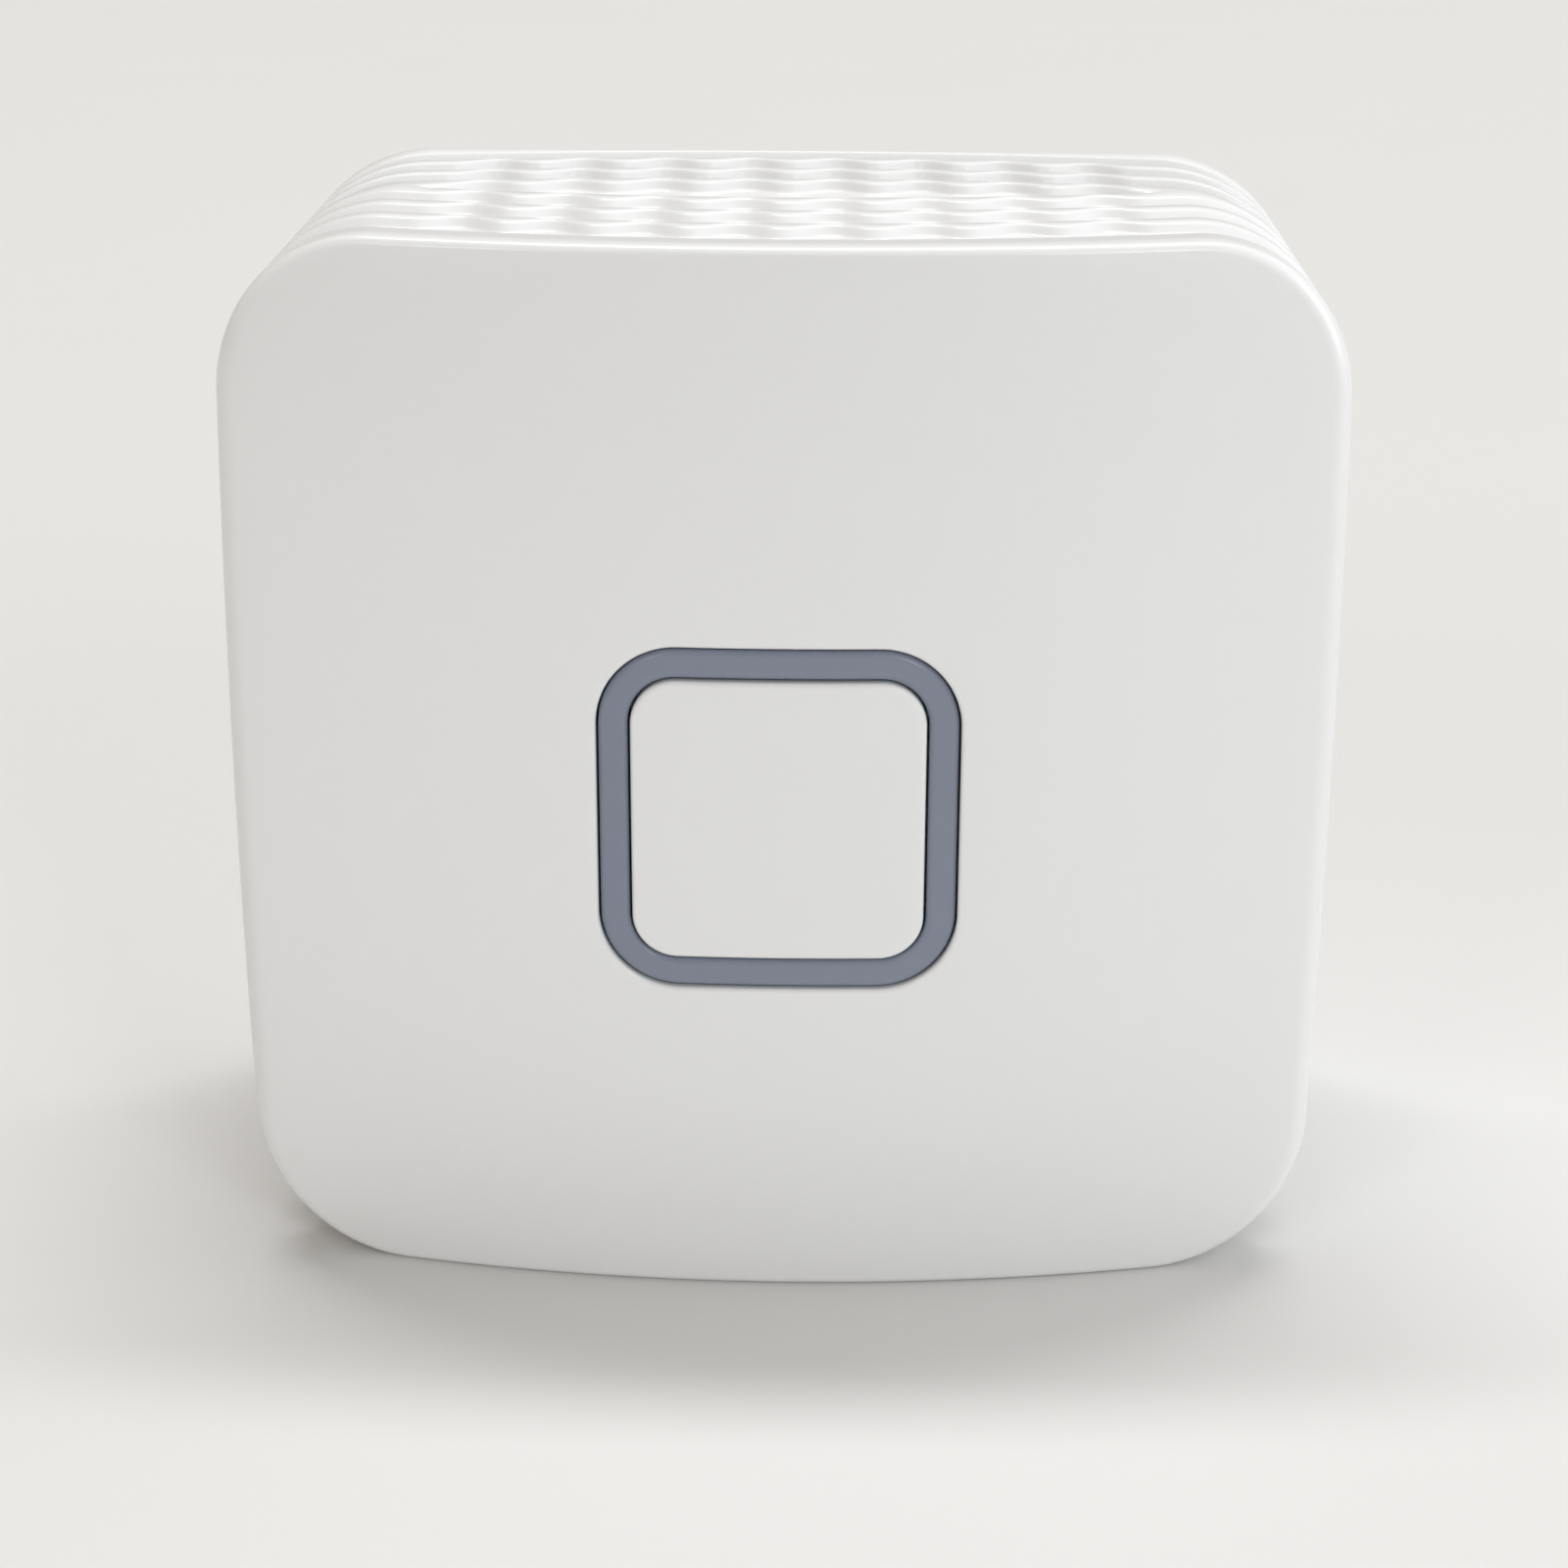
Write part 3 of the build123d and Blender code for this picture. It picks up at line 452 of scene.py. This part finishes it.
def front_line(behind, x, z):
    """Where the line of the front ribs runs that lies behind the face at the top side's middle."""
    return FRONT - FRONT_RIB_FALLS[1] + behind + fall(FRONT_RIB_FALLS, x, z)


def rear_line(behind, x, z):
    """Where the line of the rear ribs runs that lies behind the face at the top side's middle."""
    return FRONT - REAR_RIB_FALLS[1] + behind + fall(REAR_RIB_FALLS, x, z)


def edge_drop(into):
    """How far down a rib's edge is, as a share, at a distance into the groove beside it."""
    return ease((into + CREST_ROUND) / (CREST_ROUND + FOOT_ROUND))


def edge_steps():
    """The rows across one edge of a rib, from its crest down to the groove's floor."""
    reach = CREST_ROUND + FOOT_ROUND
    return [step / EDGE_ROWS * reach - CREST_ROUND for step in range(EDGE_ROWS + 1)]


def lens_ends(column):
    """Where the recess between the two sets of ribs begins and ends at a column. The wave in its end fades
    out where the recess closes."""
    x, z = SHELL.at(column)
    begin = front_line(FRONT_RIBS[-1] + RIB_WIDTH, x, z)
    end = rear_line(REAR_RIBS[0], x, z)
    return begin, end + scallop(column) * ease((end - begin) / LENS_TAPER)


def lens_drop(column, y):
    """How deep the recess between the two sets of ribs is, which fades out towards its tips."""
    begin, end = lens_ends(column)
    depth = RIB_HEIGHT * ease((end - begin) / LENS_TAPER)
    return depth * edge_drop(y - begin) * edge_drop(end - y)


def on_crown(outline, sink=0.0):
    """A row on the crowned face, or sunk a distance behind it."""

    def row(column):
        x, z = outline.at(column)
        return x, FRONT + fall(FACE_FALLS, x, z) + sink, z

    return row


def level(outline, y):
    """A row at one depth."""

    def row(column):
        x, z = outline.at(column)
        return x, y, z

    return row


def on_groove(line, behind, drop, bitten=False):
    """A row that follows a line of the ribs, a drop inside the housing's sides. The front ribs' rows end at
    the parting line."""

    def row(column):
        x, z = SHELL.grown(-drop).at(column)
        y = line(behind, x, z) + (scallop(column) if bitten else 0.0)
        if line is front_line and y > PARTING:
            y = PARTING
            x, z = SHELL.at(column)
        return x, y, z

    return row


def on_lens(into, from_end=False, rear=True):
    """A row across the recess between the sets of ribs, at a distance into it from where it begins or ends.
    It is kept on its own cover's side of the parting line, and collapses where the recess has closed."""

    def row(column):
        begin, end = lens_ends(column)
        tip = min(begin, end)
        if not rear:
            y = min(begin + into, PARTING)
        elif from_end:
            y = max(end - into, tip, PARTING)
        else:
            y = max(min(begin + into, max(end - FOOT_ROUND, tip)), PARTING)
        x, z = SHELL.grown(-lens_drop(column, y)).at(column)
        return x, y, z

    return row


def rim_row(turn):
    """A row round the face's rim, which is rounder at the left and right sides than at the top and bottom."""

    def row(column):
        sideways = column.out.x ** 2
        radius = RIM_RADIUS_ENDS + (RIM_RADIUS - RIM_RADIUS_ENDS) * sideways
        x, z = SHELL.grown(-radius * (1 - math.sin(turn))).at(column)
        return x, FRONT + fall(FACE_FALLS, x, z) + radius * (1 - math.cos(turn)), z

    return row


def parting_row(column):
    """The row where the two covers meet outside."""
    x, z = SHELL.grown(-lens_drop(column, PARTING)).at(column)
    return x, PARTING, z


def quarter_turn():
    """The angles of the rows round an edge."""
    return [step / ROUND_ROWS * math.pi / 2 for step in range(ROUND_ROWS + 1)]


def spread(first, last, count, sink=0.0):
    """Rows over the crowned face from one outline to another."""
    return [on_crown(first.towards(last, step / count), sink) for step in range(1, count)]


def round_over(outline, radius, sink=0.0):
    """Rows round a crowned edge, from the face to the side that the outline gives. A negative radius turns
    the other way, into a hole."""
    size = abs(radius)
    return [
        on_crown(outline.grown(-radius * (1 - math.sin(turn))), sink + size * (1 - math.cos(turn)))
        for turn in quarter_turn()
    ]


def groove(line, begin, end, bitten=True):
    """Rows down into a groove and up to the next rib, whose edge may be bitten into by the wave."""
    steps = [(into, RIB_HEIGHT * edge_drop(into)) for into in edge_steps()]
    down = [on_groove(line, begin + into, drop) for into, drop in steps]
    up = [on_groove(line, end - into, drop, bitten) for into, drop in reversed(steps)]
    return down + up


def front_cover_rows():
    """The front cover's section, from the ring's aperture over the face and the ribs, and back inside."""
    aperture = RING.grown(RING_GAP)
    seat_edge = aperture.grown(SEAT_WIDTH)
    inside = SHELL.grown(-WALL)
    ribs_end = [rib + RIB_WIDTH for rib in FRONT_RIBS]
    rows = [level(aperture, SEAT)]
    rows += reversed(round_over(aperture, -APERTURE_RADIUS))
    rows += spread(aperture.grown(APERTURE_RADIUS), SHELL.grown(-RIM_RADIUS), FACE_ROWS)
    rows += [rim_row(turn) for turn in quarter_turn()]
    for begin, end in zip((LIP_END, *ribs_end), FRONT_RIBS):
        rows += groove(front_line, begin, end)
    rows += [on_lens(into, rear=False) for into in edge_steps()]
    rows += [parting_row, level(inside, PARTING), on_crown(inside, FACE_WALL)]
    rows += reversed(spread(seat_edge, inside, INSIDE_ROWS, FACE_WALL))
    rows += [on_crown(seat_edge, FACE_WALL), level(seat_edge, SEAT)]
    return rows


def rear_cover_rows():
    """The rear cover's section, from the parting line over the ribs and the back, and back inside."""
    inside = SHELL.grown(-WALL)
    tongue_outside, tongue_inside = (SHELL.grown(-inset) for inset in TONGUE_INSETS)
    rows = [parting_row]
    rows += [on_lens(into) for into in edge_steps()]
    rows += [on_lens(into, from_end=True) for into in reversed(edge_steps())]
    for rib in REAR_RIBS:
        rows += groove(rear_line, rib + RIB_WIDTH, rib + REAR_PITCH, bitten=rib != REAR_RIBS[-1])
    rows += [
        level(SHELL.grown(-BACK_RADIUS * (1 - math.cos(turn))), -BACK_RADIUS * (1 - math.sin(turn)))
        for turn in quarter_turn()
    ]
    rows += [level(SHELL.grown(-BACK_RADIUS).towards(CARRIER_HOLE, 0.5), 0.0)]
    rows += [level(CARRIER_HOLE, 0.0), level(CARRIER_HOLE, -WALL), level(inside, -WALL)]
    rows += [level(inside, PARTING + TONGUE_ROOT), level(tongue_inside, PARTING + TONGUE_ROOT)]
    rows += [level(tongue_inside, PARTING - TONGUE_REACH), level(tongue_outside, PARTING - TONGUE_REACH)]
    rows += [level(tongue_outside, PARTING)]
    return rows


def ring_rows():
    """The light ring's section: its rounded front, its stepped bore and its flange."""
    bore = OPENING.grown(RING_STEP)
    flange = RING.grown(RING_FLANGE)
    rows = [*reversed(round_over(RING, RING_BEVEL, RING_SINK))]
    rows += spread(RING.grown(-RING_BEVEL), OPENING.grown(RING_BEVEL), RING_ROWS, RING_SINK)
    rows += round_over(OPENING, -RING_BEVEL, RING_SINK)
    rows += [level(OPENING, BORE_STEP), level(bore, BORE_STEP), level(bore, RING_BACK)]
    rows += [level(RING, RING_BACK), level(RING, FLANGE_BACK)]
    rows += [level(flange, FLANGE_BACK), level(flange, SEAT), level(RING, SEAT)]
    return rows


def button_rows():
    """The button cap's section, from the middle of its face over its edge and flange to its post."""
    cap = OPENING.grown(-BUTTON_GAP)
    flange = cap.grown(BUTTON_FLANGE_WIDTH)
    skirt = cap.grown(-BUTTON_SKIRT)
    rows = [on_crown(RING_CENTRE), *spread(RING_CENTRE, cap.grown(-BUTTON_BEVEL), FACE_ROWS)]
    rows += round_over(cap, BUTTON_BEVEL)
    rows += [level(cap, BUTTON_FLANGE[0]), level(flange, BUTTON_FLANGE[0]), level(flange, BUTTON_FLANGE[1])]
    rows += [level(skirt, BUTTON_FLANGE[1]), level(skirt, BUTTON_UNDERSIDE), level(POST, BUTTON_UNDERSIDE)]
    rows += [level(POST, BUTTON_POST_END), level(RING_CENTRE, BUTTON_POST_END)]
    return rows


def wrap(name, node, rows, columns, closed=True):
    """Makes the finely moulded piece that stands for a CAD node, by wrapping a grid round the hub. A closed
    one's last row meets its first."""
    count = len(rows) if closed else len(rows) - 1
    skin = bmesh.new()
    bmesh.ops.create_grid(skin, x_segments=len(columns), y_segments=count, size=0.5)
    for vertex in skin.verts:
        column = columns[round((vertex.co.x + 0.5) * len(columns)) % len(columns)]
        row = rows[round((vertex.co.y + 0.5) * count) % len(rows)]
        vertex.co = row(column)
    bmesh.ops.remove_doubles(skin, verts=skin.verts, dist=WELD)
    bmesh.ops.scale(skin, verts=skin.verts, vec=(MM, MM, MM))
    bmesh.ops.recalc_face_normals(skin, faces=skin.faces)
    for face in skin.faces:
        face.smooth = True
    for edge in skin.edges:
        edge.smooth = edge.calc_face_angle(0.0) < SHARP_EDGE
    mesh = bpy.data.meshes.new(name)
    skin.to_mesh(mesh)
    skin.free()
    piece = bpy.data.objects.new(name, mesh)
    bpy.context.scene.collection.objects.link(piece)
    slot = SLOTS[node]
    mesh.materials.append(bpy.data.materials[slot])
    body = next(body for body, nodes in BODIES.items() if node in nodes)
    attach(piece, body)
    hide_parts(node)


def area_lamp(name, way, size, level):
    """A soft lamp far off in a direction from the hub."""
    way = Vector(way).normalized()
    light = bpy.data.lights.new(name, "AREA")
    light.shape = "RECTANGLE"
    light.size, light.size_y = (part * LAMP_DISTANCE for part in size)
    light.energy = level * (math.pi * LAMP_DISTANCE) ** 2
    lamp = bpy.data.objects.new(name, light)
    lamp.location = LAMP_DISTANCE * way
    lamp.rotation_mode = "QUATERNION"
    lamp.rotation_quaternion = way.to_track_quat("Z", "Y")
    bpy.context.scene.collection.objects.link(lamp)


class HubProperties(bpy.types.PropertyGroup):
    """What a user would change on the hub and its studio."""

    housing_colour: bpy.props.FloatVectorProperty(
        name="Housing colour", description="Colour of the white moulding",
        default=(0.80, 0.815, 0.835), subtype="COLOR", min=0.0, max=1.0,
    )
    housing_roughness: bpy.props.FloatProperty(
        name="Housing roughness", description="Roughness of the white moulding",
        default=0.14, subtype="FACTOR", min=0.0, max=1.0,
    )
    edge_softness: bpy.props.FloatProperty(
        name="Edge softness", description="Radius to which the mould rounds the housing's edges",
        default=0.18 * MM, unit="LENGTH",
    )
    ring_colour: bpy.props.FloatVectorProperty(
        name="Ring colour", description="Colour of the smoked light guide",
        default=(0.155, 0.177, 0.232), subtype="COLOR", min=0.0, max=1.0,
    )
    floor_colour: bpy.props.FloatVectorProperty(
        name="Floor colour", description="Colour of the table",
        default=(0.74, 0.74, 0.735), subtype="COLOR", min=0.0, max=1.0,
    )
    room_light: bpy.props.FloatProperty(
        name="Room light", description="Strength of the light that comes from all round",
        default=0.68, min=0.0,
    )
    room_left: bpy.props.FloatVectorProperty(
        name="Room colour, left", description="Colour of the light that comes from the left",
        default=(0.36, 0.285, 0.215), subtype="COLOR", min=0.0, max=1.0,
    )
    room_right: bpy.props.FloatVectorProperty(
        name="Room colour, right", description="Colour of the light that comes from the right",
        default=(0.98, 1.0, 1.0), subtype="COLOR", min=0.0, max=1.0,
    )


class HUB_OT_finishes(bpy.types.Operator):
    """Give every node of the hub its finish"""

    bl_idname = "hub.finishes"
    bl_label = "Finishes"

    def execute(self, context):
        made = finishes(context.scene.hub)
        for name, slot in SLOTS.items():
            node = frame["nodes"][name]
            node.data.materials.clear()
            node.data.materials.append(made[slot])
        return {"FINISHED"}


class HUB_OT_covers(bpy.types.Operator):
    """Mould the two covers with their soft ribs and waves"""

    bl_idname = "hub.covers"
    bl_label = "Covers"

    def execute(self, context):
        columns = loop_columns(*COVER_COLUMNS)
        wrap("front_cover_moulding", "front_cover", front_cover_rows(), columns)
        wrap("rear_cover_moulding", "rear_cover", rear_cover_rows(), columns)
        return {"FINISHED"}


class HUB_OT_ring_and_button(bpy.types.Operator):
    """Mould the light ring and the button cap with their rounded edges"""

    bl_idname = "hub.ring_and_button"
    bl_label = "Ring and button"

    def execute(self, context):
        columns = loop_columns(*RING_COLUMNS)
        wrap("light_ring_moulding", "light_ring", ring_rows(), columns)
        wrap("button_cap_moulding", "button_cap", button_rows(), columns, closed=False)
        return {"FINISHED"}


class HUB_OT_stage(bpy.types.Operator):
    """Set up the pale table, the lamps, the room's light and the camera"""

    bl_idname = "hub.stage"
    bl_label = "Studio"

    def execute(self, context):
        props = context.scene.hub
        self.table(props)
        for lamp in LAMPS:
            area_lamp(*lamp)
        self.room(context, props)
        self.camera(context)
        return {"FINISHED"}

    def table(self, props):
        """A plain matt table that reaches past every view."""
        bpy.ops.mesh.primitive_plane_add(size=TABLE_SIZE, location=(0, 0, FLOOR_Z))
        table = bpy.context.object
        table.name = "table"
        top, shader = material("table_top")
        light = tuple(props.floor_colour)
        dark = tuple(0.985 * part for part in light)
        mottle = shader.blend(shader.noise(size=60 * MM), rgb(*light), rgb(*dark))
        shader.finish(base_color=mottle, roughness=0.6)
        table.data.materials.append(top)

    def room(self, context, props):
        """Light from all round: cool and bright from the right, warmer and dimmer from the left."""
        world = bpy.data.worlds.new("room")
        world.use_nodes = True
        air = Shader(world.node_tree)
        way = air.node("ShaderNodeTexCoord", output="Generated")
        from_right = air.node("ShaderNodeSeparateXYZ", inputs={0: way}, output="X")
        stops = ((0.0, rgb(*props.room_left)), (1.0, rgb(*props.room_right)))
        tint = air.ramp(0.5 + 0.5 * from_right, stops)
        light = air.node("ShaderNodeBackground", inputs={"Color": tint, "Strength": props.room_light})
        air.node("ShaderNodeOutputWorld", inputs={"Surface": light})
        context.scene.world = world

    def camera(self, context):
        """The camera at the photograph's angle to the face."""
        ahead = Vector((
            math.sin(CAMERA_YAW) * math.cos(CAMERA_PITCH),
            math.cos(CAMERA_YAW) * math.cos(CAMERA_PITCH),
            -math.sin(CAMERA_PITCH),
        ))
        sideways = Vector((math.cos(CAMERA_YAW), -math.sin(CAMERA_YAW), 0.0))
        upright = sideways.cross(ahead)
        right = math.cos(CAMERA_ROLL) * sideways + math.sin(CAMERA_ROLL) * upright
        up = math.cos(CAMERA_ROLL) * upright - math.sin(CAMERA_ROLL) * sideways
        turn = Matrix((right, up, -ahead)).transposed()
        data = bpy.data.cameras.new("camera")
        data.sensor_width = SENSOR
        data.lens = FOCAL_PIXELS * SENSOR / PHOTO_SIZE
        data.clip_start = CAMERA_CLIP
        camera = bpy.data.objects.new("camera", data)
        camera.matrix_world = Matrix.Translation(CAMERA_AIM - CAMERA_DISTANCE * ahead) @ turn.to_4x4()
        context.scene.collection.objects.link(camera)
        context.scene.camera = camera


class HUB_PT_sidebar(bpy.types.Panel):
    """The hub's colours and lights, and the steps that make it"""

    bl_label = "Smart Hub"
    bl_idname = "HUB_PT_sidebar"
    bl_space_type = "VIEW_3D"
    bl_region_type = "UI"
    bl_category = "Smart Hub"

    def draw(self, context):
        column = self.layout.column()
        for name in HubProperties.__annotations__:
            column.prop(context.scene.hub, name)
        for step in STEPS:
            column.operator(step.bl_idname)


STEPS = (HUB_OT_finishes, HUB_OT_covers, HUB_OT_ring_and_button, HUB_OT_stage)
CLASSES = (HubProperties, *STEPS, HUB_PT_sidebar)


def register():
    for cls in CLASSES:
        bpy.utils.register_class(cls)
    bpy.types.Scene.hub = bpy.props.PointerProperty(type=HubProperties)


def unregister():
    del bpy.types.Scene.hub
    for cls in reversed(CLASSES):
        bpy.utils.unregister_class(cls)


def main():
    register()
    bpy.context.scene.view_settings.view_transform = "Standard"
    bpy.ops.hub.finishes()
    bpy.ops.hub.covers()
    bpy.ops.hub.ring_and_button()
    bpy.ops.hub.stage()


if __name__ == "__main__":
    main()
